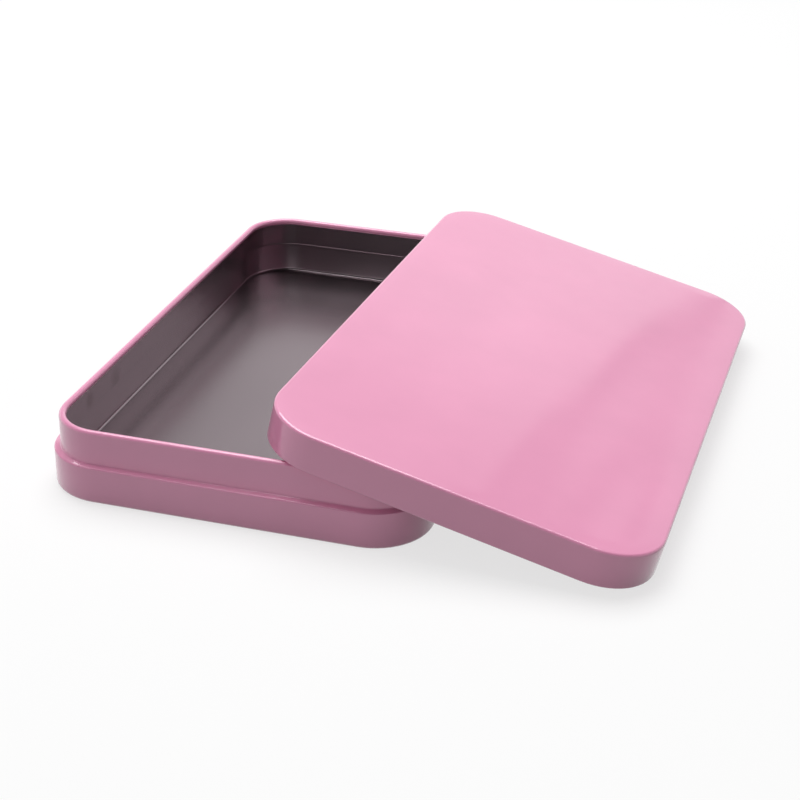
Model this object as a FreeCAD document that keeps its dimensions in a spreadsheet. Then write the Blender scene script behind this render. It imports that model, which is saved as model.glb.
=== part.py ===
import FreeCAD, Part

import math
import os
import re

import Sketcher

# A two-piece rectangular tin: a drawn base with a stepped neck and a rolled rim,
# and a slip lid that lies across its open end with one long edge on the table.
# Millimetres. X runs across the tin, Y along it, Z up from the table.
# The origin is the middle of the base's flat bottom.

SIZES = {
    # outline shared by the base's band and the lid's skirt
    "box_width": 75.0,
    "box_length": 123.6,
    "corner_radius": 11.5,
    "sheet": 0.25,
    # base
    "base_height": 14.6,
    "foot_radius": 1.0,
    "shoulder_height": 7.9,
    "shoulder_drop": 0.35,
    "shoulder_radius": 0.35,
    "neck_foot_radius": 0.35,
    "rim_radius": 0.72,
    "rim_turn": 290.0,
    # lid
    "lid_edge_radius": 0.6,
    "hem_radius": 0.45,
    "hem_turn": 265.0,
    # how the lid fits when it is on: hem to neck all round, and lid to rim above
    "lid_clearance": 0.35,
    "headroom": 0.45,
    # how the lid lies
    "lid_overlap": 30.0,
    "lid_yaw": 3.2,
    "rest_gap": 0.1,
}

# The neck stands in from the band by the hem and its clearance, so that the closed
# lid's skirt stands on the shoulder, flush with the band, and its top clears the rim.
NECK_INSET = "2 * hem_radius + lid_clearance"
CREST_HEIGHT = "shoulder_height - shoulder_drop"
LID_HEIGHT = "base_height - shoulder_height + sheet + headroom"

POSE_ROUNDS = 40
POSE_TOLERANCE = 1e-4


def make_sheet(doc):
    """The spreadsheet that drives every feature."""
    sheet = doc.addObject("Spreadsheet::Sheet", "Sizes")
    for row, (alias, value) in enumerate(SIZES.items(), start=1):
        sheet.set("A%d" % row, alias)
        sheet.set("B%d" % row, str(value))
        sheet.setAlias("B%d" % row, alias)
    doc.recompute()
    return sheet


def named(expression):
    """An expression in sheet words, written the way a property reads it."""
    return re.sub(r"\b(%s)\b" % "|".join(SIZES), r"Sizes.\1", expression)


def origin_plane(body, role):
    """The body's own origin plane of that role."""
    for feature in body.Origin.OriginFeatures:
        if feature.Role == role:
            return feature
    raise ValueError("no origin plane " + role)


def new_sketch(body, name, role, level="0"):
    """A sketch on one of the body's origin planes, raised by level."""
    sketch = body.newObject("Sketcher::SketchObject", name)
    sketch.AttachmentSupport = [(origin_plane(body, role), "")]
    sketch.MapMode = "FlatFace"
    sketch.setExpression(".AttachmentOffset.Base.z", named(level))
    return sketch


def outline_sketch(body, name, inset, level):
    """A rounded rectangle inset from the tin's outline, at the given level."""
    sheet = body.Document.Sizes
    sketch = new_sketch(body, name, "XY_Plane", level)
    width_rule = named("box_width - 2 * (%s)" % inset)
    length_rule = named("box_length - 2 * (%s)" % inset)
    radius_rule = named("corner_radius - (%s)" % inset)
    half_x = sheet.evalExpression(width_rule) / 2
    half_y = sheet.evalExpression(length_rule) / 2
    radius = sheet.evalExpression(radius_rule)

    quadrants = [(1, 1), (-1, 1), (-1, -1), (1, -1)]
    arcs = []
    for turn, (side_x, side_y) in enumerate(quadrants):
        centre = FreeCAD.Vector(side_x * (half_x - radius), side_y * (half_y - radius), 0)
        circle = Part.Circle(centre, FreeCAD.Vector(0, 0, 1), radius)
        start = turn * math.pi / 2
        arcs.append(sketch.addGeometry(Part.ArcOfCircle(circle, start, start + math.pi / 2)))
    sides = []
    for turn in range(4):
        start = sketch.Geometry[arcs[turn]].EndPoint
        end = sketch.Geometry[arcs[(turn + 1) % 4]].StartPoint
        sides.append(sketch.addGeometry(Part.LineSegment(start, end)))

    for turn in range(4):
        side, arc, following = sides[turn], arcs[turn], arcs[(turn + 1) % 4]
        sketch.addConstraint(Sketcher.Constraint("Tangent", arc, 2, side, 1))
        sketch.addConstraint(Sketcher.Constraint("Tangent", side, 2, following, 1))
        direction = "Horizontal" if turn % 2 == 0 else "Vertical"
        sketch.addConstraint(Sketcher.Constraint(direction, side))
    for arc in arcs[1:]:
        sketch.addConstraint(Sketcher.Constraint("Equal", arcs[0], arc))
    sketch.addConstraint(Sketcher.Constraint("Symmetric", arcs[0], 3, arcs[2], 3, -1, 1))
    rules = [
        ("Radius", (arcs[0],), radius, "corner", radius_rule),
        ("DistanceX", (sides[1], 1, sides[3], 1), 2 * half_x, "across", width_rule),
        ("DistanceY", (sides[2], 1, sides[0], 1), 2 * half_y, "along", length_rule),
    ]
    for kind, ends, value, label, rule in rules:
        index = sketch.addConstraint(Sketcher.Constraint(kind, *ends, value))
        sketch.renameConstraint(index, label)
        sketch.setExpression("Constraints." + label, rule)
    return sketch


def curl_sketch(body, name, radius, level, inset, first_angle, last_angle):
    """The section of a rolled edge: an open ring of sheet, seen along the tin."""
    sheet = body.Document.Sizes
    sketch = new_sketch(body, name, "XZ_Plane")
    outer_radius = sheet.evalExpression(named(radius))
    inner_radius = sheet.evalExpression(named("%s - sheet" % radius))
    centre_x = -sheet.evalExpression(named("box_width / 2 - (%s)" % inset))
    centre_y = sheet.evalExpression(named(level))
    start = math.radians(sheet.evalExpression(named(first_angle)))
    end = math.radians(sheet.evalExpression(named(last_angle)))

    centre = FreeCAD.Vector(centre_x, centre_y, 0)
    upward = FreeCAD.Vector(0, 0, 1)
    outer = sketch.addGeometry(Part.ArcOfCircle(Part.Circle(centre, upward, outer_radius), start, end))
    inner = sketch.addGeometry(Part.ArcOfCircle(Part.Circle(centre, upward, inner_radius), start, end))
    lips = []
    for point in ("StartPoint", "EndPoint"):
        near = getattr(sketch.Geometry[inner], point)
        far = getattr(sketch.Geometry[outer], point)
        lips.append(sketch.addGeometry(Part.LineSegment(near, far)))
    for lip, corner in zip(lips, (1, 2)):
        sketch.addConstraint(Sketcher.Constraint("Coincident", lip, 1, inner, corner))
        sketch.addConstraint(Sketcher.Constraint("Coincident", lip, 2, outer, corner))
        sketch.addConstraint(Sketcher.Constraint("PointOnObject", outer, 3, lip))
    sketch.addConstraint(Sketcher.Constraint("Coincident", inner, 3, outer, 3))
    rules = [
        ("Radius", (outer,), outer_radius, "outside", radius),
        ("Radius", (inner,), inner_radius, "inside", "%s - sheet" % radius),
        ("DistanceX", (outer, 3, -1, 1), -centre_x, "from_middle", "box_width / 2 - (%s)" % inset),
        ("DistanceY", (-1, 1, outer, 3), centre_y, "level", level),
        ("Angle", (outer,), end - start, "sweep", "((%s) - (%s)) * 1 deg" % (last_angle, first_angle)),
    ]
    for kind, ends, value, label, rule in rules:
        index = sketch.addConstraint(Sketcher.Constraint(kind, *ends, value))
        sketch.renameConstraint(index, label)
        sketch.setExpression("Constraints." + label, named(rule))
    joined = lips[1] if abs(math.sin(end)) < 1e-9 else lips[0]
    sketch.addConstraint(Sketcher.Constraint("Horizontal", joined))
    return sketch


def pad(body, name, sketch, thickness):
    """The sketch raised upward by the thickness rule."""
    feature = body.newObject("PartDesign::Pad", name)
    feature.Profile = sketch
    feature.setExpression("Length", named(thickness))
    return feature


def loft(body, name, lower, upper):
    """Straight slopes between two outlines."""
    feature = body.newObject("PartDesign::AdditiveLoft", name)
    feature.Profile = lower
    feature.Sections = [upper]
    feature.Ruled = True
    return feature


def level_edges(feature, level, inset):
    """Names of the edges that run round the tin at that level and inset."""
    sheet = feature.Document.Sizes
    height = sheet.evalExpression(named(level))
    reach_x = sheet.evalExpression(named("box_width / 2 - (%s)" % inset))
    reach_y = sheet.evalExpression(named("box_length / 2 - (%s)" % inset))
    radius = sheet.evalExpression(named("corner_radius - (%s)" % inset))
    names = []
    for index, edge in enumerate(feature.Shape.Edges, start=1):
        box = edge.BoundBox
        flat = abs(box.ZMin - height) < 1e-3 and abs(box.ZMax - height) < 1e-3
        middle = edge.valueAt((edge.FirstParameter + edge.LastParameter) / 2)
        dx = max(abs(middle.x) - (reach_x - radius), 0)
        dy = max(abs(middle.y) - (reach_y - radius), 0)
        if flat and abs(math.hypot(dx, dy) - radius) < 1e-3:
            names.append("Edge%d" % index)
    return names


def fillet(body, name, level, inset, radius):
    """All edges at one level and inset rounded to the radius rule."""
    body.Document.recompute()
    base = body.Tip
    feature = body.newObject("PartDesign::Fillet", name)
    feature.Base = (base, level_edges(base, level, inset))
    feature.setExpression("Radius", named(radius))
    return feature


def shell(body, name, level):
    """The solid hollowed to one sheet thickness, open at that level."""
    body.Document.recompute()
    base = body.Tip
    height = body.Document.Sizes.evalExpression(named(level))
    mouth = [
        "Face%d" % index
        for index, face in enumerate(base.Shape.Faces, start=1)
        if abs(face.BoundBox.ZMin - height) < 1e-3 and abs(face.BoundBox.ZMax - height) < 1e-3
    ]
    feature = body.newObject("PartDesign::Thickness", name)
    feature.Base = (base, mouth)
    feature.Reversed = True
    feature.setExpression("Value", named("sheet"))
    return feature


def curl(body, name, section, path):
    """A rolled edge swept round the tin and joined to the wall."""
    feature = body.newObject("PartDesign::AdditivePipe", name)
    feature.Profile = section
    feature.Spine = (path, [])
    feature.Refine = True
    return feature


def make_base(doc):
    """Drawn base: flat bottom, band, shoulder, neck and rolled rim."""
    body = doc.addObject("PartDesign::Body", "Base")
    body.Label = "tin_base"
    neck_top = "base_height - rim_radius"
    rim_inset = "%s + rim_radius" % NECK_INSET

    pad(body, "Band", outline_sketch(body, "BandOutline", "0", "0"), CREST_HEIGHT)
    crest_outline = outline_sketch(body, "CrestOutline", "0", CREST_HEIGHT)
    slope_outline = outline_sketch(body, "SlopeOutline", NECK_INSET, "shoulder_height")
    loft(body, "Shoulder", crest_outline, slope_outline)
    neck_outline = outline_sketch(body, "NeckOutline", NECK_INSET, "shoulder_height")
    pad(body, "Neck", neck_outline, "%s - shoulder_height" % neck_top)
    fillet(body, "FootRound", "0", "0", "foot_radius")
    fillet(body, "ShoulderRound", CREST_HEIGHT, "0", "shoulder_radius")
    fillet(body, "NeckFootRound", "shoulder_height", NECK_INSET, "neck_foot_radius")
    shell(body, "Hollow", neck_top)

    section = curl_sketch(
        body, "RimSection", "rim_radius", neck_top, rim_inset, "180 - rim_turn", "180"
    )
    path = outline_sketch(body, "RimPath", rim_inset, neck_top)
    curl(body, "RolledRim", section, path)
    return body, path


def make_lid(doc):
    """Slip lid: flat top, rounded edge, skirt and inward hem, top side up."""
    body = doc.addObject("PartDesign::Body", "Lid")
    body.Label = "tin_lid"

    skirt_outline = outline_sketch(body, "SkirtOutline", "0", "hem_radius")
    pad(body, "Skirt", skirt_outline, "%s - hem_radius" % LID_HEIGHT)
    fillet(body, "EdgeRound", LID_HEIGHT, "0", "lid_edge_radius")
    shell(body, "Hollow", "hem_radius")

    section = curl_sketch(
        body, "HemSection", "hem_radius", "hem_radius", "hem_radius", "180", "180 + hem_turn"
    )
    path = outline_sketch(body, "HemPath", "hem_radius", "hem_radius")
    curl(body, "Hem", section, path)
    return body, path


def resting_placement(doc, rim_path, hem_path):
    """Where the lid lies: one long edge on the table, its hem on both long rims.

    The lid's middle line crosses the base's middle line halfway along the overlap.
    Its height, tilt and roll are then moved until the hem touches the table and
    stands rest_gap off the near and the far rim.
    """
    size = doc.Sizes
    yaw = -size.lid_yaw
    centre_x = size.box_width - size.lid_overlap
    overlap_left = centre_x - size.box_width / 2
    overlap_right = size.evalExpression(named("box_width / 2 - (%s)" % NECK_INSET))
    overlap_middle = (overlap_left + overlap_right) / 2
    centre_y = (centre_x - overlap_middle) * math.tan(math.radians(yaw))
    seat = size.hem_radius + size.rim_radius + size.rest_gap

    neck_drop = FreeCAD.Vector(0, 0, size.shoulder_height - rim_path.Placement.Base.z)
    rim_walls = {"near": [], "far": []}
    for edge in rim_path.Shape.Edges:
        middle = edge.CenterOfMass
        rim_walls["near" if middle.y < 0 else "far"].append(edge.extrude(neck_drop))
    walls = {side: Part.makeCompound(faces) for side, faces in rim_walls.items()}

    height, tilt, roll = size.shoulder_height, 12.0, 0.0
    reach = centre_x + size.box_width / 2 - overlap_left
    for _ in range(POSE_ROUNDS):
        place = FreeCAD.Placement(
            FreeCAD.Vector(centre_x, centre_y, height), FreeCAD.Rotation(yaw, tilt, roll)
        )
        hem = hem_path.Shape.copy()
        hem.Placement = place.multiply(hem.Placement)
        lowest = hem.optimalBoundingBox(False).ZMin - size.hem_radius
        gaps = {side: wall.distToShape(hem)[0] - seat for side, wall in walls.items()}
        if max(abs(lowest), abs(gaps["near"]), abs(gaps["far"])) < POSE_TOLERANCE:
            return place
        mean_gap = (gaps["near"] + gaps["far"]) / 2
        height -= lowest
        tilt -= math.degrees((mean_gap - lowest) / reach)
        roll -= math.degrees((gaps["far"] - gaps["near"]) / size.box_length)
    raise RuntimeError("the lid found no rest")


def check(doc, bodies):
    """Stop unless every feature and every sub-part came out whole."""
    for feature in doc.Objects:
        if "Invalid" in feature.State or "Error" in feature.State:
            raise RuntimeError("failed feature " + feature.Name)
    for body in bodies:
        shape = body.Shape
        if shape.isNull() or not shape.isValid() or len(shape.Solids) != 1:
            raise RuntimeError("bad solid " + body.Label)


def main():
    """Build the document and write one file for each sub-part."""
    doc = FreeCAD.newDocument("TinBox")
    make_sheet(doc)
    base, rim_path = make_base(doc)
    lid, hem_path = make_lid(doc)
    doc.recompute()
    lid.Placement = resting_placement(doc, rim_path, hem_path)
    doc.recompute()
    check(doc, [base, lid])
    os.makedirs("parts", exist_ok=True)
    for body in (base, lid):
        body.Shape.exportStep("parts/%s.step" % body.Label)
        print(body.Label, round(body.Shape.Volume, 1), "mm3")
    print("lid", lid.Placement)


main()
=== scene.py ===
"""Looks of a flat rectangular tin: an open base and its slip lid, in lacquered tinplate."""

import logging
import math
from dataclasses import dataclass, field
from enum import Enum
from typing import Callable

import bmesh
import bpy
from mathutils import Matrix, Vector


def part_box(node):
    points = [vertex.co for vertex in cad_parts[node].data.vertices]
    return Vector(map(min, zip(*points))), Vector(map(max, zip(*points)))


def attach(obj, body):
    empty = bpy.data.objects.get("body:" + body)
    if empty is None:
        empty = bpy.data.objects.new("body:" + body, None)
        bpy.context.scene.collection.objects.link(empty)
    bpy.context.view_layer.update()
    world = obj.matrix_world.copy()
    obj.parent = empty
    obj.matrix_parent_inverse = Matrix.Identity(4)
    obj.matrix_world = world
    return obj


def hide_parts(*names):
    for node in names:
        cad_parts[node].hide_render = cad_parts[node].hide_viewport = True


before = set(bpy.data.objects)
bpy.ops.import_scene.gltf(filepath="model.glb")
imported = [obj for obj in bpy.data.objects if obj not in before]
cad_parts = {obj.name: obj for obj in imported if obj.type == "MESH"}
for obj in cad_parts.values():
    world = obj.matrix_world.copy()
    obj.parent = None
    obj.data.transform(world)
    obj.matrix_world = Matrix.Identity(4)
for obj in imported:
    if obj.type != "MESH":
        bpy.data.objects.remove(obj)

LOG = logging.getLogger("tin")
MM = 0.001
SAME_PLACE = 0.002 * MM
CORNER_RADIUS = 11.5 * MM
SMOOTH_ANGLE = math.radians(35)
MARK_CORE = 0.3

# Sockets of a colour Mix node, by their place in it.
MIX_AMOUNT = 0
MIX_FIRST = 6
MIX_SECOND = 7
MIX_RESULT = 2


class Side(Enum):
    """Which side of the sheet a face belongs to, as its material slot's number."""

    OUTSIDE = 0
    INSIDE = 1


# ---------------------------------------------------------------- bench work


def clear_selection() -> None:
    """Deselect every object, so that an operator acts on the next piece alone."""
    if bpy.context.object and bpy.context.object.mode == "EDIT":
        bpy.ops.object.mode_set(mode="OBJECT")
    bpy.ops.object.select_all(action="DESELECT")


def pick(piece: bpy.types.Object, test: Callable[[Vector], bool]) -> None:
    """Select the points of a piece that pass a test, with the edges and faces between them.

    Args:
        piece: The mesh object being edited, which is left in edit mode.
        test: Says of a point's place whether it is wanted.
    """
    bpy.ops.object.mode_set(mode="OBJECT")
    mesh = piece.data
    wanted = [bool(test(point.co)) for point in mesh.vertices]
    mesh.vertices.foreach_set("select", wanted)
    mesh.edges.foreach_set("select", [all(wanted[v] for v in edge.vertices) for edge in mesh.edges])
    mesh.polygons.foreach_set("select", [all(wanted[v] for v in face.vertices) for face in mesh.polygons])
    bpy.ops.object.mode_set(mode="EDIT")


def apply_modifier(piece: bpy.types.Object, kind: str, **settings: object) -> None:
    """Add one modifier with its settings and apply it.

    Args:
        piece: The mesh object that gets it.
        kind: Blender's name for the kind of modifier.
        settings: Its properties, by name.
    """
    clear_selection()
    bpy.context.view_layer.objects.active = piece
    piece.select_set(True)
    modifier = piece.modifiers.new(kind.title(), kind)
    for name, value in settings.items():
        setattr(modifier, name, value)
    bpy.ops.object.modifier_apply(modifier=modifier.name)


# ---------------------------------------------------------------- the sheet's form


@dataclass(frozen=True)
class Outline:
    """The rounded rectangle that the base's band and the lid's skirt share."""

    width: float
    length: float
    corner_radius: float

    @property
    def straight(self) -> Vector:
        """Half the straight part of the short and of the long side."""
        return Vector((self.width / 2 - self.corner_radius, self.length / 2 - self.corner_radius))

    def inset_of(self, place: Vector) -> float:
        """How far inside the outline a place lies.

        Args:
            place: A point, of which the height isn't read.

        Returns:
            The distance to the outline, positive inside.
        """
        beyond_x = max(abs(place.x) - self.straight.x, 0.0)
        beyond_y = max(abs(place.y) - self.straight.y, 0.0)
        return self.corner_radius - math.hypot(beyond_x, beyond_y)


class SectionPen:
    """Draws the line that the sheet follows in section, at the middle of the left long side.

    A place in the section is its inset from the outline and its level.
    """

    def __init__(self, name: str, outline: Outline, inset: float, level: float) -> None:
        """Start the line as a single point.

        Args:
            name: The piece's name.
            outline: The tin's outline, which insets are measured from.
            inset: How far inside the outline the line starts.
            level: The height at which it starts.
        """
        clear_selection()
        bpy.ops.mesh.primitive_plane_add(size=MM, location=(0, 0, 0))
        self.piece = bpy.context.object
        self.piece.name = name
        self.piece.data.name = name
        self.left = -outline.width / 2
        bpy.ops.object.mode_set(mode="EDIT")
        bpy.ops.mesh.select_mode(type="VERT")
        bpy.ops.mesh.select_all(action="SELECT")
        bpy.ops.mesh.merge(type="CENTER")
        bpy.ops.transform.translate(value=(self.left + inset, 0, level))
        self.inset = inset
        self.level = level

    def line_to(self, inset: float, level: float) -> "SectionPen":
        """Extrude the line's end straight to a place.

        Args:
            inset: The place's inset.
            level: The place's height.

        Returns:
            The pen itself.
        """
        step = (inset - self.inset, 0, level - self.level)
        bpy.ops.mesh.extrude_region_move(TRANSFORM_OT_translate={"value": step})
        self.inset = inset
        self.level = level
        return self

    def curl(self, radius: float, turn: float, steps: int) -> "SectionPen":
        """Roll the line's end inward, round a centre that lies one radius further in.

        Args:
            radius: The curl's radius.
            turn: How far it rolls, in degrees; positive rolls over the top.
            steps: The number of flats that make the roll.

        Returns:
            The pen itself.
        """
        centre = (self.left + self.inset + radius, 0, self.level)
        bpy.ops.mesh.spin(steps=steps, angle=-math.radians(turn), center=centre, axis=(0, 1, 0))
        return self

    def round_corner(
        self, inset: float, level: float, radius: float, steps: int, turn: float = math.pi / 2
    ) -> "SectionPen":
        """Round a corner of the finished line.

        Args:
            inset: The corner's inset.
            level: The corner's height.
            radius: The radius to which it is rounded.
            steps: The number of flats that make the round.
            turn: The angle by which the line turns there.

        Returns:
            The pen itself.
        """
        corner = Vector((self.left + inset, 0, level))
        pick(self.piece, lambda place: (place - corner).length < SAME_PLACE)
        cut = radius * math.tan(turn / 2)
        bpy.ops.mesh.bevel(offset=cut, segments=steps, profile=0.5, affect="VERTICES")
        return self


@dataclass
class DrawnTray:
    """A tray drawn from one sheet: a panel, a wall that runs round it and a rolled edge."""

    name: str
    node: str
    outline: Outline
    sheet: float = 0.25 * MM
    side_steps: int = 18
    end_steps: int = 10
    corner_steps: int = 14
    panel_inset: float = 4.0 * MM

    def draw_section(self) -> bpy.types.Object:
        """Draw the sheet's outer line in section. Each kind of tray has its own."""
        raise NotImplementedError

    def carry_round(self, piece: bpy.types.Object) -> None:
        """Carry the section along the sides and round the corners.

        Args:
            piece: The drawn section, which becomes the wall.
        """
        straight = self.outline.straight
        bpy.ops.mesh.select_all(action="SELECT")
        self.extrude_steps((0, -straight.y, 0), self.side_steps)
        corner = (-straight.x, -straight.y, 0)
        quarter = -math.pi / 2
        bpy.ops.mesh.spin(steps=self.corner_steps, angle=quarter, center=corner, axis=(0, 0, 1))
        self.extrude_steps((straight.x, 0, 0), self.end_steps)
        apply_modifier(piece, "MIRROR", use_axis=(True, True, False), merge_threshold=SAME_PLACE)

    def extrude_steps(self, run: tuple[float, float, float], steps: int) -> None:
        """Extrude what is selected along a run, in equal steps.

        Args:
            run: The whole run.
            steps: How many steps make it.
        """
        step = tuple(length / steps for length in run)
        for _ in range(steps):
            bpy.ops.mesh.extrude_region_move(TRANSFORM_OT_translate={"value": step})

    def fill_panel(self, piece: bpy.types.Object, level: float) -> None:
        """Fill the ring at a level with a grid of panel faces.

        Args:
            piece: The wall, open at its panel.
            level: The panel's height.
        """

        def on_ring(place: Vector) -> bool:
            """Whether a place lies on the ring that bounds the panel."""
            at_level = abs(place.z - level) < SAME_PLACE
            return at_level and abs(self.outline.inset_of(place) - self.panel_inset) < SAME_PLACE

        pick(piece, on_ring)
        straight = self.outline.straight
        reach = (self.outline.corner_radius - self.panel_inset) * math.sqrt(0.5)
        corner = Vector((straight.x + reach, straight.y + reach, level))
        form = bmesh.from_edit_mesh(piece.data)
        nearest = min(form.verts, key=lambda point: (point.co - corner).length)
        form.select_history.clear()
        form.select_history.add(nearest)
        bpy.ops.mesh.fill_grid(span=2 * self.end_steps + self.corner_steps)

    def thicken(self, piece: bpy.types.Object) -> None:
        """Give the outer skin its sheet thickness, with the bare side as its own slot.

        Args:
            piece: The outer skin, panel and all.
        """
        bpy.ops.mesh.select_all(action="SELECT")
        bpy.ops.mesh.remove_doubles(threshold=SAME_PLACE)
        bpy.ops.mesh.normals_make_consistent(inside=False)
        bare = Side.INSIDE.value
        apply_modifier(
            piece,
            "SOLIDIFY",
            thickness=self.sheet,
            offset=-1.0,
            use_even_offset=True,
            material_offset=bare,
            material_offset_rim=bare,
        )

    def build(self, outside: bpy.types.Material, inside: bpy.types.Material) -> bpy.types.Object:
        """Make the tray and dress it.

        Args:
            outside: The finish of the sheet's outer side.
            inside: The finish of its inner side.

        Returns:
            The finished piece, in its place.
        """
        piece = self.draw_section()
        self.carry_round(piece)
        self.fill_panel(piece, self.panel_level())
        finishes = {Side.OUTSIDE: outside, Side.INSIDE: inside}
        for side in Side:
            piece.data.materials.append(finishes[side])
        self.thicken(piece)
        bpy.ops.object.shade_smooth_by_angle(angle=SMOOTH_ANGLE)
        self.place(piece)
        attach(piece, "root")
        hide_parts(self.node)
        LOG.info("%s: %d faces", piece.name, len(piece.data.polygons))
        return piece

    def panel_level(self) -> float:
        """The level of the panel's outer face."""
        return 0.0

    def place(self, piece: bpy.types.Object) -> None:
        """Put the finished piece where it belongs. A tray stands where it is drawn."""


@dataclass
class Base(DrawnTray):
    """The drawn base: flat bottom, band, shoulder, neck and rolled rim."""

    height: float = 14.6 * MM
    foot_radius: float = 1.0 * MM
    shoulder_level: float = 7.9 * MM
    shoulder_drop: float = 0.35 * MM
    shoulder_radius: float = 0.35 * MM
    neck_inset: float = 1.25 * MM
    neck_foot_radius: float = 0.35 * MM
    rim_radius: float = 0.72 * MM
    rim_turn: float = 290.0
    foot_steps: int = 8
    shoulder_steps: int = 7
    neck_foot_steps: int = 6
    rim_steps: int = 28

    def draw_section(self) -> bpy.types.Object:
        """Draw the base's line from its bottom to the end of the rolled rim.

        Returns:
            The line, as the mesh of a new piece.
        """
        crest_level = self.shoulder_level - self.shoulder_drop
        slope_turn = math.atan2(self.neck_inset, self.shoulder_drop)
        pen = SectionPen(self.name, self.outline, self.panel_inset, 0.0)
        pen.line_to(0.0, 0.0)
        pen.line_to(0.0, crest_level)
        pen.line_to(self.neck_inset, self.shoulder_level)
        pen.line_to(self.neck_inset, self.height - self.rim_radius)
        pen.curl(self.rim_radius, self.rim_turn, self.rim_steps)
        pen.round_corner(0.0, 0.0, self.foot_radius, self.foot_steps)
        pen.round_corner(0.0, crest_level, self.shoulder_radius, self.shoulder_steps, slope_turn)
        neck_foot = (self.neck_inset, self.shoulder_level)
        pen.round_corner(*neck_foot, self.neck_foot_radius, self.neck_foot_steps, slope_turn)
        return pen.piece


@dataclass
class Lid(DrawnTray):
    """The slip lid: flat top, rounded edge, skirt and inward hem."""

    height: float = 7.4 * MM
    edge_radius: float = 0.6 * MM
    hem_radius: float = 0.45 * MM
    hem_turn: float = 265.0
    edge_steps: int = 8
    hem_steps: int = 24
    rest: Matrix = field(default_factory=Matrix)

    def draw_section(self) -> bpy.types.Object:
        """Draw the lid's line from its top panel to the end of the hem.

        Returns:
            The line, as the mesh of a new piece.
        """
        pen = SectionPen(self.name, self.outline, self.panel_inset, self.height)
        pen.line_to(0.0, self.height)
        pen.line_to(0.0, self.hem_radius)
        pen.curl(self.hem_radius, -self.hem_turn, self.hem_steps)
        pen.round_corner(0.0, self.height, self.edge_radius, self.edge_steps)
        return pen.piece

    def panel_level(self) -> float:
        """The level of the top panel's outer face."""
        return self.height

    def place(self, piece: bpy.types.Object) -> None:
        """Lay the lid across the base, as the frame has it.

        Args:
            piece: The lid, drawn flat on its open side.
        """
        piece.matrix_world = self.rest
        bpy.ops.object.transform_apply(location=True, rotation=True, scale=True)


@dataclass
class LidRest:
    """How the frame's lid lies, read from the way its faces look."""

    node: bpy.types.Object
    top_guess: Vector = field(default_factory=lambda: Vector((0.21, 0, 0.98)).normalized())
    closeness: float = 0.995

    def facing(self, direction: Vector) -> Vector:
        """The mean normal of the faces that look nearly along a direction.

        Args:
            direction: A unit vector.

        Returns:
            Their mean normal, weighted by area.
        """
        total = Vector((0, 0, 0))
        for face in self.node.data.polygons:
            if face.normal.dot(direction) > self.closeness:
                total += face.normal * face.area
        return total.normalized()

    def matrix(self) -> Matrix:
        """The lid's own frame: the middle of its open side, with its top along Z.

        Returns:
            The matrix that takes the lid's own frame to the tin's.
        """
        top = self.facing(self.facing(self.top_guess))
        side_guess = Vector((1, 0, 0)) - top * top.x
        side = self.facing(self.facing(side_guess.normalized()))
        side = (side - top * side.dot(top)).normalized()
        along = top.cross(side)
        turn = Matrix((side, along, top)).transposed()
        places = [turn.transposed() @ point.co for point in self.node.data.vertices]
        low = Vector([min(place[axis] for place in places) for axis in range(3)])
        high = Vector([max(place[axis] for place in places) for axis in range(3)])
        middle = (low + high) / 2
        origin = turn @ Vector((middle.x, middle.y, low.z))
        return Matrix.Translation(origin) @ turn.to_4x4()


# ---------------------------------------------------------------- finishes


@dataclass(frozen=True)
class Mark:
    """A small spot or smudge left on a surface."""

    place: Vector
    reach: float
    colour: tuple[float, float, float]


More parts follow.
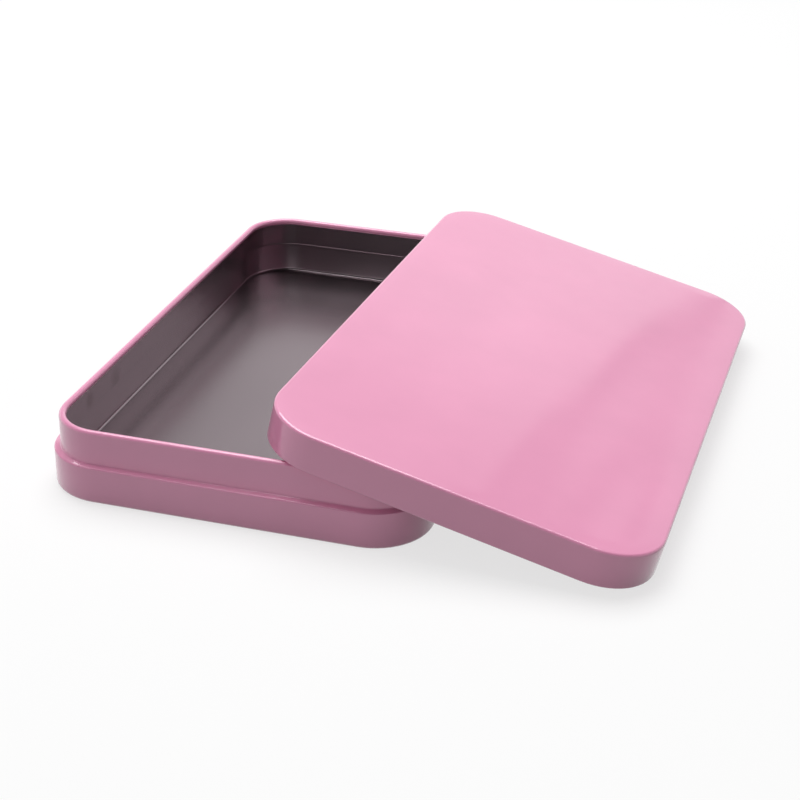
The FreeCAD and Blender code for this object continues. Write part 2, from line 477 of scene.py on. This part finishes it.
class NodeBoard:
    """A material's nodes, laid out by short calls."""

    def __init__(self, name: str) -> None:
        """Make a material that holds nothing but its output and one shader.

        Args:
            name: The material's name.
        """
        self.material = bpy.data.materials.new(name)
        self.material.use_nodes = True
        self.tree = self.material.node_tree
        self.shader = self.tree.nodes["Principled BSDF"]
        self.places = self.add("ShaderNodeTexCoord").outputs["Object"]

    def add(self, kind: str, **settings: object) -> bpy.types.Node:
        """Add a node.

        Args:
            kind: Blender's name for the node.
            settings: Properties of the node, or values of its inputs by name with _ for spaces.

        Returns:
            The new node.
        """
        node = self.tree.nodes.new(kind)
        for name, value in settings.items():
            plain = name.replace("_", " ")
            if plain in node.inputs:
                node.inputs[plain].default_value = value
            else:
                setattr(node, name, value)
        return node

    def link(self, source: bpy.types.NodeSocket, target: bpy.types.NodeSocket) -> None:
        """Join two sockets."""
        self.tree.links.new(source, target)

    def noise(self, stretch: tuple[float, float, float], detail: float) -> bpy.types.NodeSocket:
        """A noise pattern on the piece's own places.

        Args:
            stretch: Its cells for each metre, along X, Y and Z.
            detail: How many finer layers it has.

        Returns:
            The socket of its value, from 0 to 1.
        """
        mapping = self.add("ShaderNodeMapping", Scale=stretch)
        self.link(self.places, mapping.inputs["Vector"])
        pattern = self.add("ShaderNodeTexNoise", Scale=1.0, Detail=detail, Roughness=0.55)
        self.link(mapping.outputs["Vector"], pattern.inputs["Vector"])
        return pattern.outputs["Fac"]

    def span(self, source: bpy.types.NodeSocket, low: float, high: float) -> bpy.types.NodeSocket:
        """Bring a value's middle stretch to a range.

        Args:
            source: The socket to read, mostly between 0.3 and 0.7.
            low: The result at 0.3.
            high: The result at 0.7.

        Returns:
            The socket of the result.
        """
        ramp = self.add("ShaderNodeMapRange", From_Min=0.3, From_Max=0.7, To_Min=low, To_Max=high)
        self.link(source, ramp.inputs["Value"])
        return ramp.outputs["Result"]

    def near(self, place: Vector, reach: float) -> bpy.types.NodeSocket:
        """A soft round mark, full within MARK_CORE of its reach.

        Args:
            place: Its middle.
            reach: The distance at which it has faded.

        Returns:
            The socket of its strength, 1 in the middle.
        """
        away = self.add("ShaderNodeVectorMath", operation="DISTANCE")
        self.link(self.places, away.inputs[0])
        away.inputs[1].default_value = place
        fade = self.add(
            "ShaderNodeMapRange",
            interpolation_type="SMOOTHSTEP",
            From_Min=reach,
            From_Max=MARK_CORE * reach,
            To_Min=0.0,
            To_Max=1.0,
        )
        self.link(away.outputs["Value"], fade.inputs["Value"])
        return fade.outputs["Result"]

    def tint(
        self, amount: bpy.types.NodeSocket, first: tuple[float, ...], second: tuple[float, ...]
    ) -> bpy.types.NodeSocket:
        """Mix two colours.

        Args:
            amount: The socket that says how much of the second shows.
            first: The first colour.
            second: The second colour.

        Returns:
            The socket of the mixed colour.
        """
        mix = self.add("ShaderNodeMix", data_type="RGBA")
        mix.inputs[MIX_FIRST].default_value = (*first, 1)
        mix.inputs[MIX_SECOND].default_value = (*second, 1)
        self.link(amount, mix.inputs[MIX_AMOUNT])
        return mix.outputs[MIX_RESULT]

    def mark(self, colour: bpy.types.NodeSocket, mark: Mark) -> bpy.types.NodeSocket:
        """Lay a mark over a colour.

        Args:
            colour: The socket of the colour so far.
            mark: The mark.

        Returns:
            The socket of the marked colour.
        """
        mix = self.add("ShaderNodeMix", data_type="RGBA")
        mix.inputs[MIX_SECOND].default_value = (*mark.colour, 1)
        self.link(self.near(mark.place, mark.reach), mix.inputs[MIX_AMOUNT])
        self.link(colour, mix.inputs[MIX_FIRST])
        return mix.outputs[MIX_RESULT]

    def colour_over(
        self,
        colour: tuple[float, float, float],
        drift: float,
        cells: tuple[float, float, float],
        marks: tuple[Mark, ...],
    ) -> None:
        """Give the shader a colour that drifts a little from patch to patch, with its marks.

        Args:
            colour: The colour.
            drift: How much paler and deeper it gets, as a share.
            cells: The patches' cells for each metre, along X, Y and Z.
            marks: The marks, laid in order.
        """
        paler = tuple(value * (1 + drift) for value in colour)
        deeper = tuple(value * (1 - drift) for value in colour)
        amount = self.span(self.noise(cells, detail=3.0), 0.0, 1.0)
        shown = self.tint(amount, deeper, paler)
        for mark in marks:
            shown = self.mark(shown, mark)
        self.link(shown, self.shader.inputs["Base Color"])

    def roughen(
        self, roughness: float, drift: float, cells: tuple[float, float, float], detail: float
    ) -> None:
        """Give the shader a roughness that drifts a little from patch to patch.

        Args:
            roughness: The roughness.
            drift: How far it goes up and down.
            cells: The patches' cells for each metre, along X, Y and Z.
            detail: How many finer layers the patches have.
        """
        rough = self.span(self.noise(cells, detail), roughness - drift, roughness + drift)
        self.link(rough, self.shader.inputs["Roughness"])


@dataclass(frozen=True)
class Lacquer:
    """Pink lacquer under a clear coat: fine orange peel on gently uneven sheet."""

    colour: tuple[float, float, float] = (0.88, 0.335, 0.54)
    colour_drift: float = 0.03
    colour_cells: tuple[float, float, float] = (45, 45, 45)
    roughness: float = 0.38
    roughness_drift: float = 0.03
    roughness_cells: tuple[float, float, float] = (260, 260, 260)
    coat: float = 1.0
    coat_roughness: float = 0.07
    peel_depth: float = 0.004 * MM
    peel_cells: tuple[float, float, float] = (900, 900, 900)
    wave_depth: float = 1.5 * MM
    wave_cells: tuple[float, float, float] = (34, 9, 12)
    marks: tuple[Mark, ...] = ()

    def material(self) -> bpy.types.Material:
        """Make the finish as a material.

        Returns:
            The material, which reads the piece's own places.
        """
        board = NodeBoard("pink_lacquer")
        board.colour_over(self.colour, self.colour_drift, self.colour_cells, self.marks)
        board.roughen(self.roughness, self.roughness_drift, self.roughness_cells, detail=4.0)
        board.shader.inputs["Coat Weight"].default_value = self.coat
        board.shader.inputs["Coat Roughness"].default_value = self.coat_roughness
        waves = board.add("ShaderNodeBump", Strength=1.0, Distance=self.wave_depth)
        board.link(board.noise(self.wave_cells, detail=0.0), waves.inputs["Height"])
        board.link(waves.outputs["Normal"], board.shader.inputs["Coat Normal"])
        peel = board.add("ShaderNodeBump", Strength=1.0, Distance=self.peel_depth)
        board.link(waves.outputs["Normal"], peel.inputs["Normal"])
        board.link(board.noise(self.peel_cells, detail=2.0), peel.inputs["Height"])
        board.link(peel.outputs["Normal"], board.shader.inputs["Normal"])
        return board.material


@dataclass(frozen=True)
class Tinplate:
    """Bare tinplate: soft metal with faint rolling lines along the tin."""

    colour: tuple[float, float, float] = (0.42, 0.352, 0.38)
    colour_drift: float = 0.02
    colour_cells: tuple[float, float, float] = (60, 25, 60)
    roughness: float = 0.26
    roughness_drift: float = 0.008
    roughness_cells: tuple[float, float, float] = (60, 20, 60)
    grain_depth: float = 0.0003 * MM
    grain_cells: tuple[float, float, float] = (2600, 60, 2600)
    marks: tuple[Mark, ...] = ()

    def material(self) -> bpy.types.Material:
        """Make the finish as a material.

        Returns:
            The material, which reads the piece's own places.
        """
        board = NodeBoard("bare_tinplate")
        board.shader.inputs["Metallic"].default_value = 1.0
        board.colour_over(self.colour, self.colour_drift, self.colour_cells, self.marks)
        board.roughen(self.roughness, self.roughness_drift, self.roughness_cells, detail=1.0)
        grain = board.add("ShaderNodeBump", Strength=1.0, Distance=self.grain_depth)
        board.link(board.noise(self.grain_cells, detail=2.0), grain.inputs["Height"])
        board.link(grain.outputs["Normal"], board.shader.inputs["Normal"])
        return board.material


# ---------------------------------------------------------------- the studio


@dataclass(frozen=True)
class SoftBox:
    """A square soft lamp that looks at the tin."""

    name: str
    place: Vector
    size: float
    power: float

    def build(self, aim: Vector) -> None:
        """Hang the lamp.

        Args:
            aim: The point it looks at.
        """
        lamp = bpy.data.lights.new(self.name, "AREA")
        lamp.energy = self.power
        lamp.size = self.size
        holder = bpy.data.objects.new(self.name, lamp)
        holder.location = self.place
        holder.rotation_euler = (aim - self.place).to_track_quat("-Z", "Y").to_euler()
        bpy.context.scene.collection.objects.link(holder)


@dataclass
class Studio:
    """The plain pale floor, the soft lamp, the room that the tin mirrors, and the camera.

    The lamp lights the tin, and so does a fill that is brightest from fill_side. The tin mirrors a
    white backdrop and, above it, a dim room with two walls that meet at a seam. Angles are in degrees.
    """

    camera_azimuth: float = 14.83
    camera_elevation: float = 26.49
    camera_roll: float = 1.62
    camera_distance: float = 343.6 * MM
    camera_aim: Vector = field(default_factory=lambda: Vector((17.34, -1.22, 0)) * MM)
    camera_lens: float = 72.08
    camera_sensor: float = 36.0
    camera_reach: tuple[float, float] = (0.01, 50.0)
    floor_size: float = 6.0
    floor_level: float = -0.02 * MM
    floor_pale: float = 0.9
    floor_glow: float = 0.7
    floor_bounce: float = 0.3
    fill_side: Vector = field(default_factory=lambda: Vector((-0.85, -0.5, 0)))
    fill_bright: float = 0.46
    fill_dim: float = 0.015
    room_side: Vector = field(default_factory=lambda: Vector((0, 1, 0)))
    room_bright: float = 0.46
    room_dim: float = 0.02
    backdrop_slope: Vector = field(default_factory=lambda: Vector((-0.3, -0.2, 1)))
    backdrop_top: float = 0.26
    backdrop_fade: float = 0.12
    backdrop_low: tuple[float, float] = (0.24, 0.3)
    seam_azimuth: float = 6.95
    seam_width: float = 0.012
    seam_level: float = 0.15
    right_level: float = 0.7
    lamp: SoftBox = SoftBox("key_lamp", Vector((-0.15, 0.25, 0.92)), 0.8, 10.2)
    lamp_aim: Vector = field(default_factory=lambda: Vector((0.02, 0, 0)))

    def build(self) -> None:
        """Set up everything that isn't the tin."""
        self.lay_floor()
        self.light_sky()
        self.lamp.build(self.lamp_aim)
        self.set_camera()
        bpy.context.scene.view_settings.view_transform = "Standard"

    def seen_ray(self, tree: bpy.types.NodeTree) -> bpy.types.NodeSocket:
        """Tell the rays that see the surroundings from those that gather light.

        Args:
            tree: The node tree that needs it.

        Returns:
            A socket that is 1 for rays that see the surroundings, and 0 for the others.
        """
        path = tree.nodes.new("ShaderNodeLightPath")
        total = path.outputs["Is Camera Ray"]
        for name in ("Is Glossy Ray", "Is Transmission Ray"):
            total = self.combine(tree, "MAXIMUM", total, path.outputs[name])
        return total

    def combine(
        self,
        tree: bpy.types.NodeTree,
        operation: str,
        first: bpy.types.NodeSocket,
        second: bpy.types.NodeSocket,
    ) -> bpy.types.NodeSocket:
        """Work out one value from two.

        Args:
            tree: The node tree that needs it.
            operation: Blender's name for what is done with them.
            first: The socket of the first value.
            second: The socket of the second value.

        Returns:
            The socket of the result.
        """
        node = tree.nodes.new("ShaderNodeMath")
        node.operation = operation
        tree.links.new(first, node.inputs[0])
        tree.links.new(second, node.inputs[1])
        return node.outputs[0]

    def lay_floor(self) -> None:
        """Lay the pale floor, which keeps the tin's shadow."""
        clear_selection()
        bpy.ops.mesh.primitive_plane_add(size=self.floor_size, location=(0, 0, self.floor_level))
        floor = bpy.context.object
        floor.name = "floor"
        material = bpy.data.materials.new("pale_floor")
        material.use_nodes = True
        tree = material.node_tree
        tree.nodes.remove(tree.nodes["Principled BSDF"])
        lit = tree.nodes.new("ShaderNodeBsdfDiffuse")
        lit.inputs["Color"].default_value = (self.floor_pale, self.floor_pale, self.floor_pale, 1)
        dim = tree.nodes.new("ShaderNodeBsdfDiffuse")
        dim.inputs["Color"].default_value = (self.floor_bounce, self.floor_bounce, self.floor_bounce, 1)
        glow = tree.nodes.new("ShaderNodeEmission")
        glow.inputs["Color"].default_value = (1, 1, 1, 1)
        shown = tree.nodes.new("ShaderNodeMixShader")
        shown.inputs["Fac"].default_value = self.floor_glow
        tree.links.new(lit.outputs[0], shown.inputs[1])
        tree.links.new(glow.outputs[0], shown.inputs[2])
        choice = tree.nodes.new("ShaderNodeMixShader")
        tree.links.new(self.seen_ray(tree), choice.inputs["Fac"])
        tree.links.new(dim.outputs[0], choice.inputs[1])
        tree.links.new(shown.outputs[0], choice.inputs[2])
        tree.links.new(choice.outputs[0], tree.nodes["Material Output"].inputs["Surface"])
        floor.data.materials.append(material)

    def light_sky(self) -> None:
        """Give the world the fill for what it lights, and the backdrop and room for what sees it."""
        world = bpy.data.worlds.new("studio")
        world.use_nodes = True
        tree = world.node_tree
        background = tree.nodes["Background"]
        direction = tree.nodes.new("ShaderNodeTexCoord").outputs["Generated"]
        fill = self.ramp_along(tree, direction, self.fill_side, (-1, 1), (self.fill_dim, self.fill_bright))
        room = self.ramp_along(tree, direction, self.room_side, (0, 1.1), (self.room_dim, self.room_bright))
        fade = (self.backdrop_top, self.backdrop_top + self.backdrop_fade)
        slope = self.ramp_along(tree, direction, self.backdrop_slope, fade, (0, 1))
        upright = self.ramp_along(tree, direction, Vector((0, 0, 1)), self.backdrop_low, (0, 1))
        walls = self.between(tree, slope, None, room)
        walls = self.combine(tree, "MULTIPLY", walls, self.seam_shade(tree, direction))
        seen = self.between(tree, upright, None, walls)
        level = self.between(tree, self.seen_ray(tree), fill, seen)
        tree.links.new(level, background.inputs["Strength"])
        background.inputs["Color"].default_value = (1, 1, 1, 1)
        bpy.context.scene.world = world

    def seam_shade(
        self, tree: bpy.types.NodeTree, direction: bpy.types.NodeSocket
    ) -> bpy.types.NodeSocket:
        """The share of their level that the walls show to either side of the seam between them.

        Args:
            tree: The world's node tree.
            direction: The socket of the direction looked in.

        Returns:
            The socket of the share: 1 to the left, least at the seam, part of it to the right.
        """
        seam = math.radians(self.seam_azimuth)
        across = Vector((math.cos(seam), -math.sin(seam), 0))
        left = self.ramp_along(tree, direction, across, (-self.seam_width, 0), (1, self.seam_level))
        rise = self.right_level - self.seam_level
        right = self.ramp_along(tree, direction, across, (0, self.seam_width), (0, rise))
        return self.combine(tree, "ADD", left, right)

    def ramp_along(
        self,
        tree: bpy.types.NodeTree,
        direction: bpy.types.NodeSocket,
        axis: Vector,
        stretch: tuple[float, float],
        values: tuple[float, float],
    ) -> bpy.types.NodeSocket:
        """A value that changes smoothly with how far a direction leans along an axis.

        Args:
            tree: The world's node tree.
            direction: The socket of the direction.
            axis: The axis.
            stretch: The leans at which the change starts and ends.
            values: The values there.

        Returns:
            The socket of the value.
        """
        lean = tree.nodes.new("ShaderNodeVectorMath")
        lean.operation = "DOT_PRODUCT"
        lean.inputs[1].default_value = axis
        tree.links.new(direction, lean.inputs[0])
        ramp = tree.nodes.new("ShaderNodeMapRange")
        ramp.interpolation_type = "SMOOTHSTEP"
        for name, value in zip(("From Min", "From Max", "To Min", "To Max"), (*stretch, *values)):
            ramp.inputs[name].default_value = value
        tree.links.new(lean.outputs["Value"], ramp.inputs["Value"])
        return ramp.outputs["Result"]

    def between(
        self,
        tree: bpy.types.NodeTree,
        amount: bpy.types.NodeSocket,
        first: bpy.types.NodeSocket | None,
        second: bpy.types.NodeSocket,
    ) -> bpy.types.NodeSocket:
        """Go from one level to another.

        Args:
            tree: The world's node tree.
            amount: The socket that says how much of the second counts.
            first: The socket of the first level, or None for white.
            second: The socket of the second level.

        Returns:
            The socket of the level between them.
        """
        mix = tree.nodes.new("ShaderNodeMapRange")
        mix.inputs["To Min"].default_value = 1.0
        if first is not None:
            tree.links.new(first, mix.inputs["To Min"])
        tree.links.new(second, mix.inputs["To Max"])
        tree.links.new(amount, mix.inputs["Value"])
        return mix.outputs["Result"]

    def set_camera(self) -> None:
        """Place the camera by its direction, distance and roll about the aim."""
        azimuth = math.radians(self.camera_azimuth)
        elevation = math.radians(self.camera_elevation)
        back = Vector(
            (
                math.sin(azimuth) * math.cos(elevation),
                -math.cos(azimuth) * math.cos(elevation),
                math.sin(elevation),
            )
        )
        level = Vector((math.cos(azimuth), math.sin(azimuth), 0))
        turn = Matrix((level, back.cross(level), back)).transposed().to_4x4()
        roll = Matrix.Rotation(math.radians(self.camera_roll), 4, "Z")
        camera = bpy.data.cameras.new("camera")
        camera.lens = self.camera_lens
        camera.sensor_width = self.camera_sensor
        camera.clip_start, camera.clip_end = self.camera_reach
        holder = bpy.data.objects.new("camera", camera)
        place = self.camera_aim + back * self.camera_distance
        holder.matrix_world = Matrix.Translation(place) @ turn @ roll
        bpy.context.scene.collection.objects.link(holder)
        bpy.context.scene.camera = holder


def main() -> None:
    """Build the tin and its studio, and report each piece."""
    logging.basicConfig(level=logging.INFO, format="%(name)s: %(message)s")
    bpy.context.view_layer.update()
    low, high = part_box("tin_base")
    outline = Outline(width=high.x - low.x, length=high.y - low.y, corner_radius=CORNER_RADIUS)
    speck = Mark(Vector((-29.8, -61.8, 8.1)) * MM, 0.5 * MM, (0.33, 0.3, 0.24))
    smudges = (
        Mark(Vector((-36.2, -40.0, 10.0)) * MM, 2.4 * MM, (0.33, 0.27, 0.29)),
        Mark(Vector((-36.2, -28.0, 9.4)) * MM, 3.0 * MM, (0.35, 0.29, 0.31)),
        Mark(Vector((-36.2, -40.5, 12.6)) * MM, 0.9 * MM, (0.56, 0.49, 0.52)),
    )
    outside = Lacquer(marks=(speck,)).material()
    inside = Tinplate(marks=smudges).material()
    Base("tin_base_shell", "tin_base", outline, height=high.z).build(outside, inside)
    rest = LidRest(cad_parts["tin_lid"]).matrix()
    LOG.info("lid rest: %s", [tuple(round(value, 6) for value in row) for row in rest])
    Lid("tin_lid_shell", "tin_lid", outline, rest=rest).build(outside, inside)
    Studio().build()


if __name__ == "__main__":
    main()
